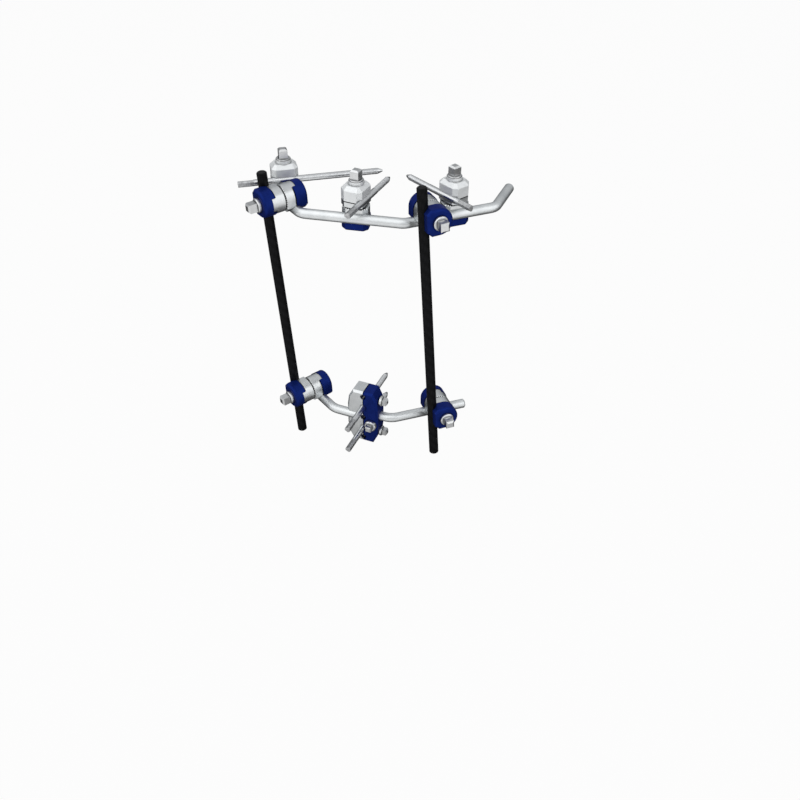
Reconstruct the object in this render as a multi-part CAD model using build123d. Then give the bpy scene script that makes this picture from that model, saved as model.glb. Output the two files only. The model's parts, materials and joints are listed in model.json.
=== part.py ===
from build123d import *
import math
import os

os.makedirs("parts", exist_ok=True)

# Lengths are millimetres. +Z is up, square to the plane of the arch rod.
# The origin is where the axis of the held limb crosses the level of the three upper pins.

# Round stock
rod_diameter = 8.0
pin_diameter = 5.0
carbon_rod_length = 250.0
rod_end_chamfer = 0.8

# Clearances
running_clearance = 0.05
bolt_clearance = 0.1
cut_overrun = 1.0

# Arch rod, seen from above
arch_bar_length = 80.0
arch_bar_offset_x = -22.5
arch_bar_offset_y = -61.5
arch_left_bend_deg = 44.0
arch_left_arm = 53.0
arch_right_bend_deg = 33.0
arch_right_arm = 76.0
arch_end_bend_deg = 46.0
arch_end_leg = 37.0
arch_bend_radius = 10.0

# Carbon rods lean a little from square to the arch
rod_lean_deg = 3.9
rod_top_above_arch = 28.2
right_rod_top_above_arch = 34.7

# Rod clamp jaws
jaw_radius = 10.6
jaw_corner = 3.6
jaw_lobe_margin = 0.9
jaw_parting_gap = 0.8
inner_jaw_height = 7.6
inner_jaw_inset = 0.5
outer_jaw_height = 10.1
outer_jaw_rounding = 2.2
inner_jaw_chamfer = 0.8
tab_width = 11.0
tab_height = 2.8
tab_start = 5.2
seam_tooth_count = 36
seam_tooth_depth = 1.3
seam_tooth_reach = 2.2
groove_wall = 2.0

# Clamp bolts
bolt_diameter = 6.0
bolt_flange_diameter = 11.4
bolt_flange_height = 2.4
bolt_flange_chamfer_share = 0.25
bolt_square = 6.8
bolt_square_height = 7.4
bolt_square_chamfer = 1.2
bolt_end_recess = 1.2

# Pin clamp, pin side
pin_jaw_height = 4.6
pin_body_width = 20.6
pin_body_corner = 4.9
pin_body_side_height = 8.2
pin_body_shoulder = 3.0
pin_side_margin = 0.9
pin_collar_diameter = 12.0
pin_collar_height = 2.6
pin_bolt_flange_diameter = 11.0
pin_bolt_flange_height = 0.8
pin_body_rounding = 0.7

# Stations of the clamps along the straight parts of the arch, from its two corners
upper_left_clamp_station = 15.3
upper_right_clamp_station = 17.6
left_pin_clamp_station = 39.5
right_pin_clamp_station = 44.0
middle_pin_clamp_station = 41.7

# Upper pins, heading from +X, and their reach each side of the clamp bolt
left_pin_heading_deg = 25.2
middle_pin_heading_deg = 76.6
right_pin_heading_deg = 141.0
left_pin_outer_reach = 37.0
left_pin_inner_reach = 77.0
middle_pin_outer_reach = 30.0
middle_pin_inner_reach = 42.0
right_pin_outer_reach = 27.0
right_pin_inner_reach = 46.0
pin_tip_length = 4.0
pin_tip_share = 0.35
pin_thread_length = 22.0
pin_thread_core_diameter = 4.6
pin_flat_length = 12.0
pin_flat_depth = 0.45

# Lower group
lower_rod_drop = 181.5
lower_left_clamp_heading_deg = 48.0
lower_right_clamp_heading_deg = 120.0
post_left_tail = 13.0
post_right_tail = 27.0
post_bend_radius = 16.0
multipin_offset_x = -12.0
multipin_offset_y = -68.0
multipin_turn_deg = -11.0
multipin_height = 54.0
multipin_depth = 16.0
multipin_left_thickness = 15.0
multipin_right_thickness = 13.0
multipin_end_width_share = 0.66
multipin_end_rise_share = 0.38
multipin_shoulder_share = 0.92
multipin_shoulder_rise_share = 0.72
multipin_edge_chamfer = 1.7
pin_groove_pitch = 11.0
pin_groove_count = 5
multipin_bolt_diameter = 4.0
multipin_bolt_rise_share = 1.5
multipin_bolt_flange_diameter = 9.0
multipin_bolt_flange_height = 1.8
multipin_bolt_square = 5.2
multipin_bolt_square_height = 4.6
post_screw_diameter = 5.0
post_screw_flange_diameter = 10.4
post_screw_flange_height = 3.2
post_screw_depth_share = 0.75
left_post_forward = 6.0
left_socket_wall = 3.4
right_socket_wall = 1.6
right_screw_inset = 7.2
right_screw_drop = 6.2
lower_pin_outer_reach = 40.0
lower_pin_inner_reach = 45.0

# Values worked out from the sizes above
rod_radius = rod_diameter / 2
pin_radius = pin_diameter / 2
bolt_radius = bolt_diameter / 2
rod_groove_radius = rod_radius + running_clearance
pin_groove_radius = pin_radius + running_clearance
bore_radius = bolt_radius + bolt_clearance
rod_seat = inner_jaw_height + jaw_parting_gap / 2
half_clamp_height = rod_seat + jaw_parting_gap / 2 + outer_jaw_height
rod_offset = bolt_radius + groove_wall + rod_radius
pin_offset = bolt_radius + groove_wall + pin_radius
lobe = rod_offset + jaw_lobe_margin
inner_jaw_radius = jaw_radius - inner_jaw_inset
pin_seat = pin_jaw_height + jaw_parting_gap / 2
pin_half_height = pin_seat + jaw_parting_gap / 2 + pin_body_side_height + pin_body_shoulder
arch_level = -(rod_seat + pin_seat)
lower_level = arch_level - lower_rod_drop
multipin_parting = jaw_parting_gap / 2
multipin_bolt_radius = multipin_bolt_diameter / 2
multipin_bolt_rise = pin_groove_pitch * multipin_bolt_rise_share
post_screw_radius = post_screw_diameter / 2
left_socket_floor = pin_groove_radius + left_socket_wall
right_socket_floor = pin_groove_radius + right_socket_wall
big = 2 * carbon_rod_length


def heading(degrees):
    """Unit vector in the XY plane at an angle from +X."""
    return Vector(math.cos(math.radians(degrees)), math.sin(math.radians(degrees)), 0)


def frame_at(origin, rod_direction, outward):
    """Half-clamp frame: Z along the bolt, Y along the gripped rod, the rod at -X."""
    return Plane(origin=origin, x_dir=rod_direction.cross(outward), z_dir=outward)


def write(name, solid):
    export_step(solid, f"parts/{name}.step")


# Layout of the arch rod
up = Vector(0, 0, 1)
bar_middle = Vector(arch_bar_offset_x, arch_bar_offset_y, arch_level)
left_corner = bar_middle - Vector(arch_bar_length / 2, 0, 0)
right_corner = bar_middle + Vector(arch_bar_length / 2, 0, 0)
left_arm_direction = heading(180 - arch_left_bend_deg)
right_arm_direction = heading(arch_right_bend_deg)
left_arm_end = left_corner + left_arm_direction * arch_left_arm
right_arm_corner = right_corner + right_arm_direction * arch_right_arm
right_leg_direction = heading(arch_right_bend_deg + arch_end_bend_deg)
right_leg_end = right_arm_corner + right_leg_direction * arch_end_leg

# Layout of the straight rods and the upper rod clamps
rod_up = Vector(-math.sin(math.radians(rod_lean_deg)), 0, math.cos(math.radians(rod_lean_deg)))


def rod_clamp_axes(grip_direction):
    """Bolt direction from the carbon rod's half to the bent rod's half, and the two X directions."""
    bolt = rod_up.cross(grip_direction).normalized()
    near_x = rod_up.cross(bolt * -1)
    far_x = grip_direction.cross(bolt)
    return bolt, near_x, far_x


def clamp_from_far_point(far_point, grip_direction):
    """Seam centre, bolt direction and carbon rod point of a clamp that grips a bent rod at far_point."""
    bolt, near_x, far_x = rod_clamp_axes(grip_direction)
    seam = far_point - bolt * rod_seat + far_x * rod_offset
    rod_point = seam - bolt * rod_seat - near_x * rod_offset
    return seam, bolt, rod_point


def clamp_on_rod(rod_point, grip_direction, level):
    """Seam centre and bolt direction of a clamp on a carbon rod whose far groove lies at a level."""
    bolt, near_x, far_x = rod_clamp_axes(grip_direction)
    step = bolt * (2 * rod_seat) + near_x * rod_offset - far_x * rod_offset
    along = (level - step.Z - rod_point.Z) / rod_up.Z
    seam = rod_point + rod_up * along + bolt * rod_seat + near_x * rod_offset
    return seam, bolt, rod_point + rod_up * along + step


left_grip = left_arm_direction * -1
right_grip = right_arm_direction
upper_left_point = left_corner + left_arm_direction * upper_left_clamp_station
upper_right_point = right_corner + right_arm_direction * upper_right_clamp_station
upper_left_seam, upper_left_bolt, left_rod_point = clamp_from_far_point(upper_left_point, left_grip)
upper_right_seam, upper_right_bolt, right_rod_point = clamp_from_far_point(upper_right_point, right_grip)


def point_on_rod(point, level):
    return point + rod_up * ((level - point.Z) / rod_up.Z)


left_rod_top = point_on_rod(left_rod_point, arch_level + rod_top_above_arch)
right_rod_top = point_on_rod(right_rod_point, arch_level + right_rod_top_above_arch)

# Layout of the lower group
lower_left_grip = heading(lower_left_clamp_heading_deg - 90)
lower_right_grip = heading(lower_right_clamp_heading_deg - 90)
lower_left_seam, lower_left_bolt, lower_left_point = clamp_on_rod(left_rod_point, lower_left_grip, lower_level)
lower_right_seam, lower_right_bolt, lower_right_point = clamp_on_rod(
    right_rod_point, lower_right_grip, lower_level
)
multipin_centre = Vector(multipin_offset_x, multipin_offset_y, lower_level)
multipin_x = heading(multipin_turn_deg)
multipin_y = heading(multipin_turn_deg + 90)


def crossing(point_a, direction_a, point_b, direction_b):
    """Point where two level lines cross."""
    across = direction_a.X * direction_b.Y - direction_a.Y * direction_b.X
    gap = point_b - point_a
    along = (gap.X * direction_b.Y - gap.Y * direction_b.X) / across
    return point_a + direction_a * along


left_post_start = multipin_centre - multipin_x * left_socket_floor - multipin_y * left_post_forward
right_post_start = multipin_centre + multipin_x * right_socket_floor
left_post_corner = crossing(left_post_start, multipin_x, lower_left_point, lower_left_grip)
right_post_corner = crossing(right_post_start, multipin_x, lower_right_point, lower_right_grip)
left_post_end = lower_left_point - lower_left_grip * post_left_tail
right_post_end = lower_right_point + lower_right_grip * post_right_tail


def straight_rod(top, direction, length, radius, chamfer_size):
    rod = Cylinder(radius, length, align=(Align.CENTER, Align.CENTER, Align.MAX))
    rod = chamfer(rod.edges(), chamfer_size)
    return Plane(origin=top, z_dir=direction) * rod


def bent_rod(points, radius, bend_radius, chamfer_size):
    path = FilletPolyline(*points, radius=bend_radius)
    start = (points[1] - points[0]).normalized()
    rod = sweep(Plane(origin=points[0], z_dir=start) * Circle(radius), path=path)
    ends = rod.edges().filter_by(GeomType.CIRCLE).filter_by(lambda edge: at_end(edge, points))
    return chamfer(ends, chamfer_size)


def at_end(edge, points):
    centre = edge.arc_center
    return min((centre - points[0]).length, (centre - points[-1]).length) < rod_end_chamfer


def jaw_outline(radius, reach):
    """Round on the bolt side, with a straight-sided lobe that reaches over the rod."""
    corner = min(jaw_corner, radius / 2)
    sides = Polyline(
        (0, radius), (corner - reach, radius), (-reach, radius - corner),
        (-reach, corner - radius), (corner - reach, -radius), (0, -radius),
    )
    nose = ThreePointArc((0, -radius), (radius, 0), (0, radius))
    return make_face([*sides.edges(), nose])


def rod_groove():
    groove = Cylinder(rod_groove_radius, big, rotation=(90, 0, 0))
    return Pos(-rod_offset, 0, rod_seat) * groove


def pin_groove():
    groove = Cylinder(pin_groove_radius, big, rotation=(90, 0, 0))
    return Pos(-pin_offset, 0, pin_seat) * groove


def tab(clearance):
    """Locking tab that stands on an inner jaw, opposite its groove."""
    base = inner_jaw_height
    height = jaw_parting_gap + tab_height + clearance
    block = Pos(tab_start - clearance, 0, base) * Box(
        jaw_radius, tab_width + 2 * clearance, height, align=(Align.MIN, Align.CENTER, Align.MIN)
    )
    return block


def inner_jaw():
    """Jaw between the toothed seam and the rod, with half of the rod's groove."""
    jaw = extrude(jaw_outline(inner_jaw_radius, lobe - inner_jaw_inset), inner_jaw_height)
    jaw = chamfer(jaw.faces().sort_by(Axis.Z)[0].edges(), inner_jaw_chamfer)
    key = tab(0) & Cylinder(inner_jaw_radius, big)
    tooth = Rot(X=45) * Box(2 * seam_tooth_reach, seam_tooth_depth, seam_tooth_depth)
    teeth = PolarLocations(inner_jaw_radius, seam_tooth_count) * tooth
    return jaw + key - rod_groove() - Cylinder(bore_radius, big) - teeth


def outer_jaw():
    """Coloured jaw that presses the rod on to the inner jaw."""
    jaw = extrude(jaw_outline(jaw_radius, lobe), outer_jaw_height)
    jaw = fillet(jaw.faces().sort_by(Axis.Z)[-1].edges(), min(outer_jaw_rounding, outer_jaw_height / 3))
    jaw = Pos(0, 0, rod_seat + jaw_parting_gap / 2) * jaw
    return jaw - tab(running_clearance) - rod_groove() - Cylinder(bore_radius, big)


def square_headed_bolt(head_seat, shank_end, radius, flange_diameter, flange_height, square, square_height):
    """Bolt with a round flange and a square drive, its head at +Z."""
    base = head_seat + bolt_clearance
    shank = Pos(0, 0, shank_end) * Cylinder(
        radius, base - shank_end, align=(Align.CENTER, Align.CENTER, Align.MIN)
    )
    flange = Cylinder(flange_diameter / 2, flange_height, align=(Align.CENTER, Align.CENTER, Align.MIN))
    flange = chamfer(flange.edges().sort_by(Axis.Z)[-1], flange_height * bolt_flange_chamfer_share)
    drive = Box(square, square, square_height, align=(Align.CENTER, Align.CENTER, Align.MIN))
    drive = chamfer(drive.faces().sort_by(Axis.Z)[-1].edges(), min(bolt_square_chamfer, square / 5))
    drive = Pos(0, 0, base + flange_height) * drive
    return shank + Pos(0, 0, base) * flange + drive


def rod_clamp_bolt():
    return square_headed_bolt(
        half_clamp_height, bolt_end_recess - half_clamp_height, bolt_radius,
        bolt_flange_diameter, bolt_flange_height, bolt_square, bolt_square_height,
    )


def write_rod_clamp(name, seam, bolt, grip_direction):
    near = frame_at(seam, rod_up, bolt * -1)
    far = frame_at(seam, grip_direction, bolt)
    write(f"{name}_near_inner_jaw", near * inner_jaw())
    write(f"{name}_near_outer_jaw", near * outer_jaw())
    write(f"{name}_far_inner_jaw", far * inner_jaw())
    write(f"{name}_far_outer_jaw", far * outer_jaw())
    write(f"{name}_bolt", near * rod_clamp_bolt())


def pin_body_outline():
    """Eight-sided, cut back on the pin's side so that the pin lies open."""
    half = pin_body_width / 2
    corner = min(pin_body_corner, half / 2)
    points = []
    for quarter in range(4):
        turn = Rotation(0, 0, 90 * quarter)
        for x, y in ((half, corner - half), (half, half - corner)):
            points.append((turn * Pos(x, y, 0)).position)
    outline = make_face(Polyline(*points, close=True))
    return outline & Pos(-pin_offset - pin_side_margin, 0) * Rectangle(
        2 * pin_body_width, 2 * pin_body_width, align=(Align.MIN, Align.CENTER)
    )


def pin_inner_jaw():
    """Thin jaw between the seam and the pin."""
    jaw = extrude(pin_body_outline(), pin_jaw_height)
    jaw = chamfer(jaw.faces().sort_by(Axis.Z)[0].edges(), inner_jaw_chamfer)
    return jaw - pin_groove() - Cylinder(bore_radius, big)


def above_foot(edge):
    return edge.center().Z > pin_body_rounding


def pin_outer_jaw():
    """Faceted body that presses the pin down, with a sloped shoulder and a collar."""
    body = extrude(pin_body_outline(), pin_body_side_height + pin_body_shoulder)
    body = chamfer(body.faces().sort_by(Axis.Z)[-1].edges(), pin_body_shoulder)
    body = fillet(body.edges().filter_by(above_foot), pin_body_rounding)
    collar = Pos(0, 0, pin_body_side_height + pin_body_shoulder) * Cylinder(
        pin_collar_diameter / 2, pin_collar_height, align=(Align.CENTER, Align.CENTER, Align.MIN)
    )
    body = Pos(0, 0, pin_seat + jaw_parting_gap / 2) * (body + collar)
    return body - pin_groove() - Cylinder(bore_radius, big)


def pin_clamp_bolt():
    return square_headed_bolt(
        pin_half_height + pin_collar_height, bolt_end_recess - half_clamp_height, bolt_radius,
        pin_bolt_flange_diameter, pin_bolt_flange_height, bolt_square, bolt_square_height,
    )


def round_pin(outer_reach, inner_reach):
    """Pin along +Y: a flatted drive end at -Y, a thread's core and a tapered tip at +Y."""
    length = outer_reach + inner_reach
    core_radius = pin_thread_core_diameter / 2
    base = (Align.CENTER, Align.CENTER, Align.MIN)
    pin = Cylinder(pin_radius, length - pin_tip_length - pin_thread_length, align=base)
    core = Cylinder(core_radius, length - pin_tip_length, align=base)
    tip = Pos(0, 0, length - pin_tip_length) * Cone(
        core_radius, core_radius * pin_tip_share, pin_tip_length, align=base
    )
    flat = Pos(pin_radius - pin_flat_depth, 0, -cut_overrun) * Box(
        pin_diameter, 2 * pin_diameter, pin_flat_length + cut_overrun,
        align=(Align.MIN, Align.CENTER, Align.MIN)
    )
    flats = [Rot(Z=120 * turn) * flat for turn in range(3)]
    pin = pin + core + tip - flats
    return Pos(0, -outer_reach, 0) * Rot(X=-90) * pin


def pin_clamp_frames(axis_point, grip_direction, pin_direction):
    """Rod-side frame, pointing down, and pin-side frame, pointing up, at the clamp's seam."""
    seam = Vector(axis_point.X, axis_point.Y, arch_level + rod_seat)
    rod_side = frame_at(seam, grip_direction, up * -1)
    pin_side = frame_at(seam, pin_direction, up)
    return rod_side, pin_side


def write_pin_clamp(name, rod_side, pin_side, pin_turn, outer_reach, inner_reach):
    write(f"{name}_pin_clamp_rod_inner_jaw", rod_side * inner_jaw())
    write(f"{name}_pin_clamp_rod_outer_jaw", rod_side * outer_jaw())
    write(f"{name}_pin_clamp_pin_inner_jaw", pin_side * pin_inner_jaw())
    write(f"{name}_pin_clamp_pin_outer_jaw", pin_side * pin_outer_jaw())
    write(f"{name}_pin_clamp_bolt", pin_side * pin_clamp_bolt())
    pin = Pos(-pin_offset, 0, pin_seat) * Rot(Z=pin_turn) * round_pin(outer_reach, inner_reach)
    write(f"upper_{name}_pin", pin_side * pin)


def multipin_outline(thickness, side):
    """Jaw outline in X and Z, from the parting face out to a rounded back."""
    half = multipin_height / 2
    start = side * multipin_parting
    back = side * thickness
    end_x = back * multipin_end_width_share
    shoulder_x = back * multipin_shoulder_share
    shoulder_z = half * multipin_shoulder_rise_share
    flat_z = half * multipin_end_rise_share
    points = [
        (start, half), (end_x, half), (shoulder_x, shoulder_z), (back, flat_z),
        (back, -flat_z), (shoulder_x, -shoulder_z), (end_x, -half), (start, -half),
    ]
    return make_face(Plane.XZ * Polyline(*points, close=True))


def multipin_jaw(thickness, side, socket_floor, post_forward, screw_place):
    """Jaw with its half of the pin grooves, two bolt bores, the post's socket and the post screw's bore."""
    jaw = extrude(multipin_outline(thickness, side), multipin_depth / 2, both=True)
    rims = jaw.edges().filter_by(Axis.Y, reverse=True)
    outer_rims = [edge for edge in rims if abs(edge.center().X) > multipin_parting + cut_overrun]
    jaw = chamfer(outer_rims, multipin_edge_chamfer)
    first = -(pin_groove_count - 1) / 2 * pin_groove_pitch
    grooves = [
        Pos(0, 0, first + index * pin_groove_pitch) * Cylinder(pin_groove_radius, big, rotation=(90, 0, 0))
        for index in range(pin_groove_count)
    ]
    bores = [
        Pos(0, 0, rise) * Cylinder(multipin_bolt_radius + bolt_clearance, big, rotation=(0, 90, 0))
        for rise in (multipin_bolt_rise, -multipin_bolt_rise)
    ]
    socket = Pos(side * socket_floor, -post_forward, 0) * Rot(Y=90 * side) * Cylinder(
        rod_radius + running_clearance, big, align=(Align.CENTER, Align.CENTER, Align.MIN)
    )
    screw_bore = screw_place * Cylinder(post_screw_radius + bolt_clearance, 2 * multipin_depth)
    return jaw - grooves - bores - socket - screw_bore


def multipin_bolt():
    return square_headed_bolt(
        multipin_right_thickness, multipin_bolt_diameter - multipin_left_thickness, multipin_bolt_radius,
        multipin_bolt_flange_diameter, multipin_bolt_flange_height,
        multipin_bolt_square, multipin_bolt_square_height,
    )


def post_screw(shank_end):
    return square_headed_bolt(
        multipin_depth / 2, shank_end, post_screw_radius,
        post_screw_flange_diameter, post_screw_flange_height,
        multipin_bolt_square, multipin_bolt_square_height,
    )


# Straight carbon rods
write("left_carbon_rod", straight_rod(left_rod_top, rod_up, carbon_rod_length, rod_radius, rod_end_chamfer))
write("right_carbon_rod", straight_rod(right_rod_top, rod_up, carbon_rod_length, rod_radius, rod_end_chamfer))

# Arch rod
arch_points = [left_arm_end, left_corner, right_corner, right_arm_corner, right_leg_end]
write("arch_rod", bent_rod(arch_points, rod_radius, arch_bend_radius, rod_end_chamfer))

# Upper and lower rod clamps
write_rod_clamp("upper_left_clamp", upper_left_seam, upper_left_bolt, left_grip)
write_rod_clamp("upper_right_clamp", upper_right_seam, upper_right_bolt, right_grip)
write_rod_clamp("lower_left_clamp", lower_left_seam, lower_left_bolt, lower_left_grip)
write_rod_clamp("lower_right_clamp", lower_right_seam, lower_right_bolt, lower_right_grip)

# Pin clamps on the arch, each with its pin
inward_left = heading(90 - arch_left_bend_deg)
inward_right = heading(90 + arch_right_bend_deg)
left_pin_axis = left_corner + left_arm_direction * left_pin_clamp_station + inward_left * rod_offset
right_pin_axis = right_corner + right_arm_direction * right_pin_clamp_station + inward_right * rod_offset
middle_pin_axis = left_corner + Vector(middle_pin_clamp_station, rod_offset, 0)
left_frames = pin_clamp_frames(left_pin_axis, left_grip, heading(left_pin_heading_deg + 180))
middle_frames = pin_clamp_frames(middle_pin_axis, heading(0), heading(middle_pin_heading_deg + 180))
right_frames = pin_clamp_frames(right_pin_axis, right_grip, heading(right_pin_heading_deg))
write_pin_clamp("left", *left_frames, 180, left_pin_outer_reach, left_pin_inner_reach)
write_pin_clamp("middle", *middle_frames, 180, middle_pin_outer_reach, middle_pin_inner_reach)
write_pin_clamp("right", *right_frames, 0, right_pin_outer_reach, right_pin_inner_reach)

# Bent posts of the lower group; the right one has a notch in its side for its locking screw
multipin = Plane(origin=multipin_centre, x_dir=multipin_x, z_dir=up)
left_screw_place = Pos(-(left_socket_floor + multipin_left_thickness) / 2, 0, 0) * Rot(X=-90)
right_screw_place = Pos(right_screw_inset, 0, -right_screw_drop) * Rot(X=90)
left_post_points = [left_post_start, left_post_corner, left_post_end]
right_post_points = [right_post_start, right_post_corner, right_post_end]
notch = multipin * right_screw_place * Cylinder(post_screw_radius + bolt_clearance, 2 * multipin_depth)
right_post = bent_rod(right_post_points, rod_radius, post_bend_radius, rod_end_chamfer) - notch
write("left_post", bent_rod(left_post_points, rod_radius, post_bend_radius, rod_end_chamfer))
write("right_post", right_post)

# Multi-pin clamp with its bolts and pins
left_jaw = multipin_jaw(multipin_left_thickness, -1, left_socket_floor, left_post_forward, left_screw_place)
right_jaw = multipin_jaw(multipin_right_thickness, 1, right_socket_floor, 0, right_screw_place)
write("multipin_left_jaw", multipin * left_jaw)
write("multipin_right_jaw", multipin * right_jaw)
for bolt_name, rise in (("upper", multipin_bolt_rise), ("lower", -multipin_bolt_rise)):
    write(f"multipin_{bolt_name}_bolt", multipin * Pos(0, 0, rise) * Rot(Y=90) * multipin_bolt())
left_screw_end = rod_radius + bolt_clearance - left_post_forward
right_screw_end = multipin_depth / 2 - multipin_depth * post_screw_depth_share
write("multipin_left_post_screw", multipin * left_screw_place * post_screw(left_screw_end))
write("multipin_right_post_screw", multipin * right_screw_place * post_screw(right_screw_end))
for pin_name, rise in (("upper", pin_groove_pitch), ("lower", -pin_groove_pitch)):
    lower_pin = multipin * Pos(0, 0, rise) * round_pin(lower_pin_outer_reach, lower_pin_inner_reach)
    write(f"lower_{pin_name}_pin", lower_pin)
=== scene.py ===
import json
import math
import bpy
from mathutils import Matrix, Vector

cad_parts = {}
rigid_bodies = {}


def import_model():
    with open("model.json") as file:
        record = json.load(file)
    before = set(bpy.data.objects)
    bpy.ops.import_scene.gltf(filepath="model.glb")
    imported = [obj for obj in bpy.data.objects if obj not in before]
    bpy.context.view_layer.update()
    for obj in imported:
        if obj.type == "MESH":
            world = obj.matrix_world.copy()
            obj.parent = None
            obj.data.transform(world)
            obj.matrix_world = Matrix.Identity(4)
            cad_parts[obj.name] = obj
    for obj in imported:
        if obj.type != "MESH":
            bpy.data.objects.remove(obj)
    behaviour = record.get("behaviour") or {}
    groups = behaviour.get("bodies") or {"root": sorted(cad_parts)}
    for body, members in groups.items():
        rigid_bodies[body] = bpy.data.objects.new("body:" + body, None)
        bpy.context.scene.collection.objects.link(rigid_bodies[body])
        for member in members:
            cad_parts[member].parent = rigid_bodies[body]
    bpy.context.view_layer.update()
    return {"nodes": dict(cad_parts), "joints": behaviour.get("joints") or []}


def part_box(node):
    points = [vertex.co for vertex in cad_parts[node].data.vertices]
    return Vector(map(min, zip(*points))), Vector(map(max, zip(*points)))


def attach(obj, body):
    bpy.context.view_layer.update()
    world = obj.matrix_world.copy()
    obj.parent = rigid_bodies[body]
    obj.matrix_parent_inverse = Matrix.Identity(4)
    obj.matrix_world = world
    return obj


# The solids come in at their own places. They come in selected, so all of them are let go
# before anything new is modelled.
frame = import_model()
record_joints = {joint["name"]: joint for joint in frame["joints"]}
for thing in bpy.data.objects:
    thing.select_set(False)

# The camera stands where the photograph was taken from: in front, a little to the right and
# well above. Its place was fitted to measured points of the photograph.
camera_lens_mm = 40.5
camera_sensor_mm = 36.0
camera_nearest = 0.01
camera_farthest = 20.0
camera_place = Vector((0.1286, -0.6583, 0.3030))
camera_back = Vector((0.1450, -0.7681, 0.6238)).normalized()
camera_up = Vector((-0.1275, 0.6107, 0.7815))
camera_right = camera_up.cross(camera_back).normalized()
camera_up = camera_back.cross(camera_right)

camera_data = bpy.data.cameras.new("photo_camera")
camera_data.lens = camera_lens_mm
camera_data.sensor_width = camera_sensor_mm
camera_data.clip_start = camera_nearest
camera_data.clip_end = camera_farthest
camera = bpy.data.objects.new("photo_camera", camera_data)
bpy.context.scene.collection.objects.link(camera)
camera.matrix_world = Matrix((
    (camera_right.x, camera_up.x, camera_back.x, camera_place.x),
    (camera_right.y, camera_up.y, camera_back.y, camera_place.y),
    (camera_right.z, camera_up.z, camera_back.z, camera_place.z),
    (0, 0, 0, 1),
))
bpy.context.scene.camera = camera
bpy.context.scene.view_settings.view_transform = "Standard"

# The floor is a plain sheet of white paper a hand's breadth under the lower rod ends, because
# the frame is held, not stood. It takes a soft shadow. In the metal it is pale in front of the
# frame and dim underneath, which draws the dark lower edges of rods and jaws.
floor_size = 14.0
floor_level = -0.31
paper_grey = 0.50
paper_white_share = 0.95
paper_dim_y, paper_dim_tone = -0.10, 0.08
paper_pale_y, paper_pale_tone = -0.27, 0.92


def math_of(tree, operation, first, second=None, third=None):
    """A Math node on sockets or plain numbers."""
    node = tree.nodes.new("ShaderNodeMath")
    node.operation = operation
    for index, value in enumerate((first, second, third)):
        if value is None:
            continue
        if isinstance(value, (int, float)):
            node.inputs[index].default_value = value
        else:
            tree.links.new(value, node.inputs[index])
    return node.outputs[0]


bpy.ops.mesh.primitive_plane_add(size=floor_size, location=(0, 0, floor_level))
floor_sheet = bpy.context.active_object
floor_sheet.name = "floor_sheet"
floor_paper = bpy.data.materials.new("floor_paper")
floor_paper.use_nodes = True
paper_tree = floor_paper.node_tree
paper_tree.nodes.clear()
paper_rays = paper_tree.nodes.new("ShaderNodeLightPath")
paper_seen = paper_rays.outputs["Is Camera Ray"]
paper_in_metal = math_of(
    paper_tree, "MAXIMUM",
    paper_rays.outputs["Is Glossy Ray"], paper_rays.outputs["Is Transmission Ray"])
paper_place = paper_tree.nodes.new("ShaderNodeTexCoord")
paper_split = paper_tree.nodes.new("ShaderNodeSeparateXYZ")
paper_tree.links.new(paper_place.outputs["Object"], paper_split.inputs[0])
paper_front = paper_tree.nodes.new("ShaderNodeMapRange")
paper_front.inputs["From Min"].default_value = paper_dim_y
paper_front.inputs["From Max"].default_value = paper_pale_y
paper_front.inputs["To Min"].default_value = paper_dim_tone
paper_front.inputs["To Max"].default_value = paper_pale_tone
paper_tree.links.new(paper_split.outputs["Y"], paper_front.inputs["Value"])
paper_tone = math_of(paper_tree, "MAXIMUM", paper_front.outputs[0], paper_seen)
paper_share = math_of(
    paper_tree, "MULTIPLY_ADD", paper_seen, paper_white_share,
    math_of(paper_tree, "MULTIPLY", paper_in_metal, paper_white_share))
paper_diffuse = paper_tree.nodes.new("ShaderNodeBsdfDiffuse")
paper_diffuse.inputs["Color"].default_value = (paper_grey, paper_grey, paper_grey, 1)
paper_white = paper_tree.nodes.new("ShaderNodeEmission")
paper_white.inputs["Color"].default_value = (1, 1, 1, 1)
paper_tree.links.new(paper_tone, paper_white.inputs["Strength"])
paper_mix = paper_tree.nodes.new("ShaderNodeMixShader")
paper_out = paper_tree.nodes.new("ShaderNodeOutputMaterial")
paper_tree.links.new(paper_share, paper_mix.inputs[0])
paper_tree.links.new(paper_diffuse.outputs[0], paper_mix.inputs[1])
paper_tree.links.new(paper_white.outputs[0], paper_mix.inputs[2])
paper_tree.links.new(paper_mix.outputs[0], paper_out.inputs["Surface"])
floor_sheet.data.materials.append(floor_paper)

# The room is pale all round, and greyer below the horizon. The camera finds plain white in it.
# The metal finds soft greys in it, so that faces turned down or away come out darker.
room_strength = 0.74
horizon_height = 0.5
room_stops = [(0.42, (0.30, 0.31, 0.32, 1)), (0.78, (1.0, 1.0, 1.0, 1))]
room_metal_stops = [
    (0.45, (0.42, 0.43, 0.44, 1)), (0.80, (0.58, 0.59, 0.60, 1)), (0.96, (0.60, 0.61, 0.62, 1))]


def tones(tree, share, stops):
    """A colour ramp through the given stops."""
    ramp = tree.nodes.new("ShaderNodeValToRGB")
    ramp.color_ramp.elements[0].position, ramp.color_ramp.elements[0].color = stops[0]
    ramp.color_ramp.elements[1].position, ramp.color_ramp.elements[1].color = stops[-1]
    for position, colour in stops[1:-1]:
        ramp.color_ramp.elements.new(position).color = colour
    tree.links.new(share, ramp.inputs[0])
    return ramp.outputs["Color"]


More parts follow.
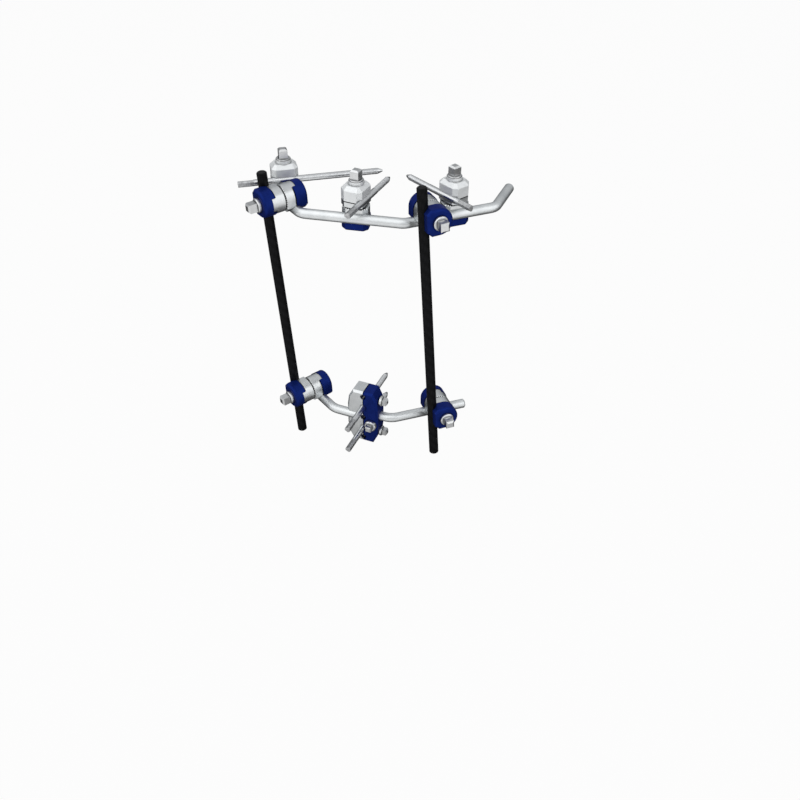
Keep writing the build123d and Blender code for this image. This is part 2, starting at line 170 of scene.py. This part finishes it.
room = bpy.data.worlds.new("pale_room")
bpy.context.scene.world = room
room.use_nodes = True
room_tree = room.node_tree
room_tree.nodes.clear()
room_rays = room_tree.nodes.new("ShaderNodeLightPath")
room_glossy = math_of(
    room_tree, "MAXIMUM",
    room_rays.outputs["Is Glossy Ray"], room_rays.outputs["Is Transmission Ray"])
room_place = room_tree.nodes.new("ShaderNodeTexCoord")
room_split = room_tree.nodes.new("ShaderNodeSeparateXYZ")
room_tree.links.new(room_place.outputs["Generated"], room_split.inputs[0])
room_height = math_of(
    room_tree, "MULTIPLY_ADD", room_split.outputs["Z"], horizon_height, horizon_height)
room_lit = room_tree.nodes.new("ShaderNodeBackground")
room_lit.inputs["Strength"].default_value = room_strength
room_tree.links.new(tones(room_tree, room_height, room_stops), room_lit.inputs["Color"])
room_in_metal = room_tree.nodes.new("ShaderNodeBackground")
room_in_metal.inputs["Strength"].default_value = 1.0
room_tree.links.new(tones(room_tree, room_height, room_metal_stops), room_in_metal.inputs["Color"])
room_seen = room_tree.nodes.new("ShaderNodeBackground")
room_seen.inputs["Color"].default_value = (1, 1, 1, 1)
room_seen.inputs["Strength"].default_value = 1.0
room_metal_mix = room_tree.nodes.new("ShaderNodeMixShader")
room_mix = room_tree.nodes.new("ShaderNodeMixShader")
room_out = room_tree.nodes.new("ShaderNodeOutputWorld")
room_tree.links.new(room_glossy, room_metal_mix.inputs[0])
room_tree.links.new(room_lit.outputs[0], room_metal_mix.inputs[1])
room_tree.links.new(room_in_metal.outputs[0], room_metal_mix.inputs[2])
room_tree.links.new(room_rays.outputs["Is Camera Ray"], room_mix.inputs[0])
room_tree.links.new(room_metal_mix.outputs[0], room_mix.inputs[1])
room_tree.links.new(room_seen.outputs[0], room_mix.inputs[2])
room_tree.links.new(room_mix.outputs[0], room_out.inputs["Surface"])

# Two soft boxes light the frame: a large one overhead in front and to the left, and a smaller,
# weaker one at the right. Both are aimed at the middle of the frame.
lamp_rows = (
    ("soft_box_left", (-0.75, -0.75, 1.05), 2.6, 15.0),
    ("soft_box_right", (1.15, -0.45, 0.55), 1.5, 5.0),
)
lamp_target = Vector((0.0, -0.04, -0.10))
for lamp_name, lamp_place, lamp_size, lamp_power in lamp_rows:
    lamp_data = bpy.data.lights.new(lamp_name, "AREA")
    lamp_data.size = lamp_size
    lamp_data.energy = lamp_power
    lamp = bpy.data.objects.new(lamp_name, lamp_data)
    bpy.context.scene.collection.objects.link(lamp)
    lamp.location = lamp_place
    aim = lamp_target - Vector(lamp_place)
    lamp.rotation_euler = aim.to_track_quat("-Z", "Y").to_euler()

# The two straight rods are pultruded carbon fibre with a wrapped twill skin under clear resin.
# They are 8 mm thick, cut square and chamfered, and the clamps grip them by friction.
rod_tow_width = 0.0021
rod_tows_round = 12
twill_repeat = 4.0
twill_tows_over = 2.0
twill_crown_height = 0.00006
twill_crown_strength = 0.25
weave_share = 0.35
carbon_fibre_scale = 1400.0
carbon_stops = [(0.15, (0.0022, 0.0022, 0.0026, 1)), (0.95, (0.0085, 0.0085, 0.0098, 1))]
resin_gloss = 0.07
resin_roughness, resin_roughness_spread = 0.28, 0.16


def finish_of(name):
    """A new material with an empty tree, its shader and its output."""
    material = bpy.data.materials.new(name)
    material.use_nodes = True
    tree = material.node_tree
    tree.nodes.clear()
    shader = tree.nodes.new("ShaderNodeBsdfPrincipled")
    out = tree.nodes.new("ShaderNodeOutputMaterial")
    tree.links.new(shader.outputs["BSDF"], out.inputs["Surface"])
    return material, tree, shader


def along_axis(tree, point, direction):
    """Object coordinates turned so that Z runs along a piece's own axis from a point on it."""
    place = tree.nodes.new("ShaderNodeTexCoord")
    turn = tree.nodes.new("ShaderNodeMapping")
    turn.vector_type = "TEXTURE"
    turn.inputs["Location"].default_value = point
    turn.inputs["Rotation"].default_value = Vector(direction).to_track_quat("Z", "Y").to_euler()
    tree.links.new(place.outputs["Object"], turn.inputs["Vector"])
    return turn.outputs["Vector"]


def split_of(tree, vector):
    """The X, Y and Z of a vector."""
    split = tree.nodes.new("ShaderNodeSeparateXYZ")
    tree.links.new(vector, split.inputs[0])
    return split.outputs["X"], split.outputs["Y"], split.outputs["Z"]


def grain(tree, vector, scale, detail, roughness):
    """Fine unevenness, about as many grains to the metre as the scale says."""
    noise = tree.nodes.new("ShaderNodeTexNoise")
    noise.inputs["Scale"].default_value = scale
    noise.inputs["Detail"].default_value = detail
    noise.inputs["Roughness"].default_value = roughness
    tree.links.new(vector, noise.inputs["Vector"])
    return noise.outputs["Fac"]


def blend_of(tree, first, first_share, second, second_share):
    """Two patterns added, each by its share."""
    return math_of(
        tree, "MULTIPLY_ADD", first, first_share, math_of(tree, "MULTIPLY", second, second_share))


def relief(tree, shader, height, strength, distance):
    """Small bumps on the surface."""
    bump = tree.nodes.new("ShaderNodeBump")
    bump.inputs["Strength"].default_value = strength
    bump.inputs["Distance"].default_value = distance
    tree.links.new(height, bump.inputs["Height"])
    tree.links.new(bump.outputs["Normal"], shader.inputs["Normal"])


def crown_of(tree, tow):
    """How far a tow bulges between its two edges."""
    across = math_of(tree, "MULTIPLY", math_of(tree, "FRACT", tow), math.pi)
    return math_of(tree, "SINE", across)


def dress(node_name, material):
    """A finish on a solid's node, instead of the plain one that it comes with."""
    node = frame["nodes"][node_name]
    node.data.materials.clear()
    node.data.materials.append(material)


for side in ("left", "right"):
    rod_low, rod_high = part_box(f"{side}_carbon_rod")
    material, tree, shader = finish_of(f"{side}_carbon_weave")
    local = along_axis(tree, (rod_low + rod_high) / 2, record_joints[f"{side}_rod_slide"]["axis"])
    rod_x, rod_y, rod_z = split_of(tree, local)
    angle = math_of(tree, "ARCTAN2", rod_y, rod_x)
    round_tow = math_of(tree, "MULTIPLY", angle, rod_tows_round / (2 * math.pi))
    along_tow = math_of(tree, "DIVIDE", rod_z, rod_tow_width)
    cells = math_of(
        tree, "ADD", math_of(tree, "FLOOR", round_tow), math_of(tree, "FLOOR", along_tow))
    step = math_of(tree, "FLOORED_MODULO", cells, twill_repeat)
    over = math_of(tree, "LESS_THAN", step, twill_tows_over)
    under = math_of(tree, "SUBTRACT", 1.0, over)
    crown = math_of(
        tree, "ADD", math_of(tree, "MULTIPLY", over, crown_of(tree, round_tow)),
        math_of(tree, "MULTIPLY", under, crown_of(tree, along_tow)))
    fibres = grain(tree, local, scale=carbon_fibre_scale, detail=2.0, roughness=0.55)
    weave = blend_of(tree, over, weave_share, crown, weave_share)
    shade = math_of(tree, "MULTIPLY_ADD", fibres, weave_share, weave)
    tree.links.new(tones(tree, shade, carbon_stops), shader.inputs["Base Color"])
    rough = math_of(tree, "MULTIPLY_ADD", shade, resin_roughness_spread, resin_roughness)
    tree.links.new(rough, shader.inputs["Roughness"])
    shader.inputs["Specular IOR Level"].default_value = resin_gloss
    relief(tree, shader, crown, twill_crown_strength, twill_crown_height)
    dress(f"{side}_carbon_rod", material)

# The arch rod and the two posts are bent from 8 mm aluminium bar, drawn and then vibro-polished.
# The finish is a soft satin with a cloudy polish and short handling marks along the bar.
satin_stops = [(0.30, (0.72, 0.745, 0.755, 1)), (0.70, (0.84, 0.86, 0.865, 1))]
satin_rim = (0.12, 0.13, 0.15, 1)
satin_roughness, satin_cloud_spread, satin_mark_spread = 0.33, 0.10, 0.08
satin_relief_strength, satin_relief_height = 0.18, 0.00003
polish_cloud_scale = 95.0
polish_dust_scale, polish_dust_share = 2600.0, 0.6
handling_mark_scale = (60.0, 900.0, 900.0)
for bent_name in ("arch_rod", "left_post", "right_post"):
    material, tree, shader = finish_of(f"{bent_name}_satin")
    place = tree.nodes.new("ShaderNodeTexCoord").outputs["Object"]
    clouds = grain(tree, place, scale=polish_cloud_scale, detail=4.0, roughness=0.6)
    dust = grain(tree, place, scale=polish_dust_scale, detail=2.0, roughness=0.5)
    stretch = tree.nodes.new("ShaderNodeMapping")
    stretch.inputs["Scale"].default_value = handling_mark_scale
    tree.links.new(place, stretch.inputs["Vector"])
    marks = grain(tree, stretch.outputs["Vector"], scale=1.0, detail=2.0, roughness=0.6)
    tree.links.new(tones(tree, clouds, satin_stops), shader.inputs["Base Color"])
    shader.inputs["Metallic"].default_value = 1.0
    shader.inputs["Specular Tint"].default_value = satin_rim
    clouded = math_of(tree, "MULTIPLY_ADD", clouds, satin_cloud_spread, satin_roughness)
    rough = math_of(tree, "MULTIPLY_ADD", marks, satin_mark_spread, clouded)
    tree.links.new(rough, shader.inputs["Roughness"])
    bumps = math_of(tree, "ADD", math_of(tree, "MULTIPLY", dust, polish_dust_share), marks)
    relief(tree, shader, bumps, satin_relief_strength, satin_relief_height)
    dress(bent_name, material)

# Each rod clamp is turned and milled from aluminium round bar: one pair of jaws for the straight
# rod, one for the bent rod. The inner jaws stay plain and the outer jaws are anodised blue.
# A square-headed steel bolt through the middle draws all four together.
plain_finish = {
    "dark": (0.67, 0.69, 0.70), "light": (0.84, 0.86, 0.865), "rim": (0.12, 0.13, 0.15),
    "roughness": 0.26, "metallic": 1.0, "gloss": 0.5}
blue_finish = {
    "dark": (0.0052, 0.0150, 0.120), "light": (0.0090, 0.0240, 0.180), "rim": (0.10, 0.12, 0.35),
    "roughness": 0.34, "metallic": 0.5, "gloss": 0.15}
steel_finish = {
    "dark": (0.62, 0.63, 0.635), "light": (0.84, 0.845, 0.85), "rim": (0.12, 0.13, 0.14),
    "roughness": 0.22, "metallic": 1.0, "gloss": 0.5}
finish_dark_from, finish_light_from = 0.32, 0.68
finish_roughness_spread = 0.16
# Painted shade in creases: the colour is darkened within this reach of a nearby face.
painted_shade_reach, painted_shade_samples = 0.0014, 8
tool_mark_share, metal_cloud_share = 0.45, 0.55
tool_mark_height = 0.00001
lathe_ring_scale, lathe_ring_rise = 3800.0, 0.8
lathe_dust_scale, lathe_dust_rise = 2400.0, 0.5
lathe_cloud_scale = 160.0
lathe_relief_strength = 0.22


def painted_crease_shade(tree, colour, shader):
    """Painted shade: the colour goes dark where two faces meet closely, as if shade fell in the
    gap.
    """
    crease_shade_node = tree.nodes.new("ShaderNodeAmbientOcclusion")
    crease_shade_node.samples = painted_shade_samples
    crease_shade_node.inputs["Distance"].default_value = painted_shade_reach
    tree.links.new(colour, crease_shade_node.inputs["Color"])
    tree.links.new(crease_shade_node.outputs["Color"], shader.inputs["Base Color"])


def coat(tree, shader, share, finish):
    """A finish's colour, gloss and rim, toned by how light each place of the pattern is, with
    painted shade where faces meet closely.
    """
    stops = [(finish_dark_from, (*finish["dark"], 1)), (finish_light_from, (*finish["light"], 1))]
    painted_crease_shade(tree, tones(tree, share, stops), shader)
    shader.inputs["Metallic"].default_value = finish["metallic"]
    shader.inputs["Specular IOR Level"].default_value = finish["gloss"]
    shader.inputs["Specular Tint"].default_value = (*finish["rim"], 1)
    rough = math_of(tree, "MULTIPLY_ADD", share, finish_roughness_spread, finish["roughness"])
    tree.links.new(rough, shader.inputs["Roughness"])


def turned_metal(name, axis, finish):
    """Lathe rings round an axis: they circle the end faces and run round the sides."""
    material, tree, shader = finish_of(name)
    local = along_axis(tree, *axis)
    metal_x, metal_y, metal_z = split_of(tree, local)
    radius = math_of(tree, "SQRT", math_of(
        tree, "ADD", math_of(tree, "MULTIPLY", metal_x, metal_x),
        math_of(tree, "MULTIPLY", metal_y, metal_y)))
    ring_place = tree.nodes.new("ShaderNodeCombineXYZ")
    tree.links.new(radius, ring_place.inputs["X"])
    tree.links.new(metal_z, ring_place.inputs["Z"])
    rings = grain(tree, ring_place.outputs[0], scale=lathe_ring_scale, detail=2.0, roughness=0.7)
    clouds = grain(tree, local, scale=lathe_cloud_scale, detail=4.0, roughness=0.6)
    dust = grain(tree, local, scale=lathe_dust_scale, detail=2.0, roughness=0.5)
    coat(tree, shader, blend_of(tree, rings, tool_mark_share, clouds, metal_cloud_share), finish)
    bumps = blend_of(tree, rings, lathe_ring_rise, dust, lathe_dust_rise)
    relief(tree, shader, bumps, lathe_relief_strength, tool_mark_height)
    return material


def bolt_axis(joint_name):
    """A point on a bolt's axis and the axis's direction, as its joint states them."""
    joint = record_joints[joint_name]
    return Vector(joint["pos_m"]), Vector(joint["axis"])


for level, side in (("upper", "left"), ("upper", "right"), ("lower", "left"), ("lower", "right")):
    clamp = f"{level}_{side}_clamp"
    clamp_axis = bolt_axis(f"{level}_{side}_bolt_turn")
    plain = turned_metal(f"{clamp}_plain", clamp_axis, plain_finish)
    blue = turned_metal(f"{clamp}_blue", clamp_axis, blue_finish)
    steel = turned_metal(f"{clamp}_bolt_steel", clamp_axis, steel_finish)
    for half in ("near", "far"):
        dress(f"{clamp}_{half}_inner_jaw", plain)
        dress(f"{clamp}_{half}_outer_jaw", blue)
    dress(f"{clamp}_bolt", steel)

# Each pin clamp has the same rod jaws below and an eight-sided milled body above, with the pin in
# the groove between. The body is bead-blasted aluminium, so its faces are paler and softer than
# the turned jaws.
blasted_finish = {
    "dark": (0.80, 0.82, 0.83), "light": (0.92, 0.935, 0.94), "rim": (0.12, 0.13, 0.15),
    "roughness": 0.46, "metallic": 0.7, "gloss": 0.5}
for side in ("left", "middle", "right"):
    clamp = f"{side}_pin_clamp"
    clamp_axis = bolt_axis(f"{side}_bolt_turn")
    plain = turned_metal(f"{clamp}_plain", clamp_axis, plain_finish)
    blue = turned_metal(f"{clamp}_blue", clamp_axis, blue_finish)
    body = turned_metal(f"{clamp}_body", clamp_axis, blasted_finish)
    steel = turned_metal(f"{clamp}_bolt_steel", clamp_axis, steel_finish)
    dress(f"{clamp}_rod_inner_jaw", plain)
    dress(f"{clamp}_rod_outer_jaw", blue)
    dress(f"{clamp}_pin_inner_jaw", plain)
    dress(f"{clamp}_pin_outer_jaw", body)
    dress(f"{clamp}_bolt", steel)

# The pins are 5 mm ground stainless steel. The outer end has three flats for the driver and is
# duller. The inner end has a rolled thread, made here as one closed ridge of three-sided section
# that winds round the core of the solid and rides with it.
thread_pitch = 0.00125
thread_length = 0.0215
thread_ridge_radius = 0.00042
thread_ridge_stretch = 1.5
thread_ridge_offset = 0.00201
thread_steps_round = 20
thread_merge_distance = 0.00001
thread_end_gap = 0.0002
pin_tip_length = 0.004
pin_dull_length = 0.012
pin_dull_fade_before, pin_dull_fade_after = 0.002, 0.001
pin_dull_share = 0.30
pin_pattern_share = 0.5
pin_stops = [
    (0.0, (0.30, 0.305, 0.31, 1)), (0.35, (0.68, 0.69, 0.70, 1)), (0.70, (0.86, 0.87, 0.88, 1))]
pin_rim = (0.10, 0.11, 0.12, 1)
pin_roughness, pin_dull_roughness, pin_roughness_spread = 0.20, 0.20, 0.10
pin_spot_scale = 420.0
pin_grinding_scale = (300.0, 300.0, 4500.0)
pin_grinding_strength, pin_grinding_height = 0.20, 0.00002
pin_rows = [
    (f"upper_{side}_pin", f"{side}_pin", f"{side}_pin_slide")
    for side in ("left", "middle", "right")]
pin_rows += [
    (f"lower_{level}_pin", f"lower_{level}_pin_body", f"lower_{level}_pin_slide")
    for level in ("upper", "lower")]

bpy.ops.mesh.primitive_circle_add(vertices=3, radius=thread_ridge_radius, fill_type="NGON")
thread_master = bpy.context.active_object
thread_master.name = "pin_thread"
bpy.ops.object.mode_set(mode="EDIT")
bpy.ops.mesh.select_all(action="SELECT")
for turn_axis in ("X", "Y"):
    bpy.ops.transform.rotate(
        value=math.radians(90), orient_axis=turn_axis, center_override=(0, 0, 0))
bpy.ops.transform.resize(value=(1, 1, thread_ridge_stretch), center_override=(0, 0, 0))
bpy.ops.transform.translate(value=(thread_ridge_offset, 0, 0))
bpy.ops.object.mode_set(mode="OBJECT")
wind = thread_master.modifiers.new("wind", "SCREW")
wind.axis = "Z"
wind.angle = 2 * math.pi
wind.screw_offset = thread_pitch
wind.iterations = int(thread_length / thread_pitch)
wind.steps = thread_steps_round
wind.render_steps = thread_steps_round
wind.use_smooth_shade = True
bpy.ops.object.modifier_apply(modifier="wind")
bpy.ops.object.mode_set(mode="EDIT")
bpy.ops.mesh.select_all(action="SELECT")
bpy.ops.mesh.remove_doubles(threshold=thread_merge_distance)
bpy.ops.mesh.select_all(action="DESELECT")
bpy.ops.mesh.select_non_manifold()
bpy.ops.mesh.fill()
bpy.ops.mesh.select_all(action="SELECT")
bpy.ops.mesh.normals_make_consistent(inside=False)
bpy.ops.object.mode_set(mode="OBJECT")
thread_master.select_set(False)

for pin_node, pin_body, pin_joint in pin_rows:
    pin_axis = Vector(record_joints[pin_joint]["axis"])
    pin_turn = pin_axis.to_track_quat("Z", "Y").to_matrix()
    pin_points = [
        pin_turn.transposed() @ vertex.co for vertex in frame["nodes"][pin_node].data.vertices]
    pin_least = Vector([min(point[index] for point in pin_points) for index in range(3)])
    pin_most = Vector([max(point[index] for point in pin_points) for index in range(3)])
    pin_middle = pin_turn @ ((pin_least + pin_most) / 2)
    half_length = (pin_most.z - pin_least.z) / 2
    dull_edge = pin_dull_length - half_length
    material, tree, shader = finish_of(f"{pin_node}_steel")
    local = along_axis(tree, pin_middle, pin_axis)
    pin_z = split_of(tree, local)[2]
    ground = tree.nodes.new("ShaderNodeMapping")
    ground.inputs["Scale"].default_value = pin_grinding_scale
    tree.links.new(local, ground.inputs["Vector"])
    lines = grain(tree, ground.outputs["Vector"], scale=1.0, detail=2.0, roughness=0.6)
    spots = grain(tree, local, scale=pin_spot_scale, detail=4.0, roughness=0.6)
    dull = tree.nodes.new("ShaderNodeMapRange")
    dull.inputs["From Min"].default_value = dull_edge + pin_dull_fade_before
    dull.inputs["From Max"].default_value = dull_edge - pin_dull_fade_after
    tree.links.new(pin_z, dull.inputs["Value"])
    share = blend_of(tree, lines, pin_pattern_share, spots, pin_pattern_share)
    dulled = math_of(tree, "MULTIPLY", dull.outputs[0], pin_dull_share)
    bright = math_of(tree, "SUBTRACT", share, dulled)
    tree.links.new(tones(tree, bright, pin_stops), shader.inputs["Base Color"])
    shader.inputs["Metallic"].default_value = 1.0
    shader.inputs["Specular Tint"].default_value = pin_rim
    end_rough = math_of(tree, "MULTIPLY_ADD", dull.outputs[0], pin_dull_roughness, pin_roughness)
    rough = math_of(tree, "MULTIPLY_ADD", share, pin_roughness_spread, end_rough)
    tree.links.new(rough, shader.inputs["Roughness"])
    relief(tree, shader, share, pin_grinding_strength, pin_grinding_height)
    dress(pin_node, material)
    thread = bpy.data.objects.new(f"{pin_node}_thread", thread_master.data.copy())
    bpy.context.scene.collection.objects.link(thread)
    thread_rise = half_length - pin_tip_length - thread_length - thread_end_gap
    thread_start = pin_middle + pin_axis * thread_rise
    thread.data.transform(Matrix.Translation(thread_start) @ pin_turn.to_4x4())
    thread.data.materials.clear()
    thread.data.materials.append(material)
    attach(thread, pin_body)
bpy.data.objects.remove(thread_master)

# The multi-pin clamp is two milled aluminium blocks: the plain one holds the left post, the blue
# one the right post. Two square-headed bolts draw them together on the pins, and one screw locks
# each post in its socket.
block_axis = bolt_axis("multipin_upper_bolt_turn")
milling_mark_scale = (120.0, 2600.0, 2600.0)
milling_relief_strength = 0.2
block_cloud_scale = 140.0
milled_plain_finish = {**plain_finish, "roughness": 0.30}
fastener_rows = (
    ("multipin_upper_bolt", "multipin_upper_bolt_turn"),
    ("multipin_lower_bolt", "multipin_lower_bolt_turn"),
    ("multipin_left_post_screw", "left_post_screw_turn"),
    ("multipin_right_post_screw", "right_post_screw_turn"),
)


def milled_block(name, finish):
    """Straight milling marks along a block, with a light blast over them."""
    material, tree, shader = finish_of(name)
    local = along_axis(tree, *block_axis)
    stretch = tree.nodes.new("ShaderNodeMapping")
    stretch.inputs["Scale"].default_value = milling_mark_scale
    tree.links.new(local, stretch.inputs["Vector"])
    marks = grain(tree, stretch.outputs["Vector"], scale=1.0, detail=2.0, roughness=0.6)
    clouds = grain(tree, local, scale=block_cloud_scale, detail=4.0, roughness=0.6)
    coat(tree, shader, blend_of(tree, marks, tool_mark_share, clouds, metal_cloud_share), finish)
    relief(tree, shader, marks, milling_relief_strength, tool_mark_height)
    return material


dress("multipin_left_jaw", milled_block("multipin_plain", milled_plain_finish))
dress("multipin_right_jaw", milled_block("multipin_blue", blue_finish))
for fastener, joint_name in fastener_rows:
    fastener_steel = turned_metal(f"{fastener}_steel", bolt_axis(joint_name), steel_finish)
    dress(fastener, fastener_steel)
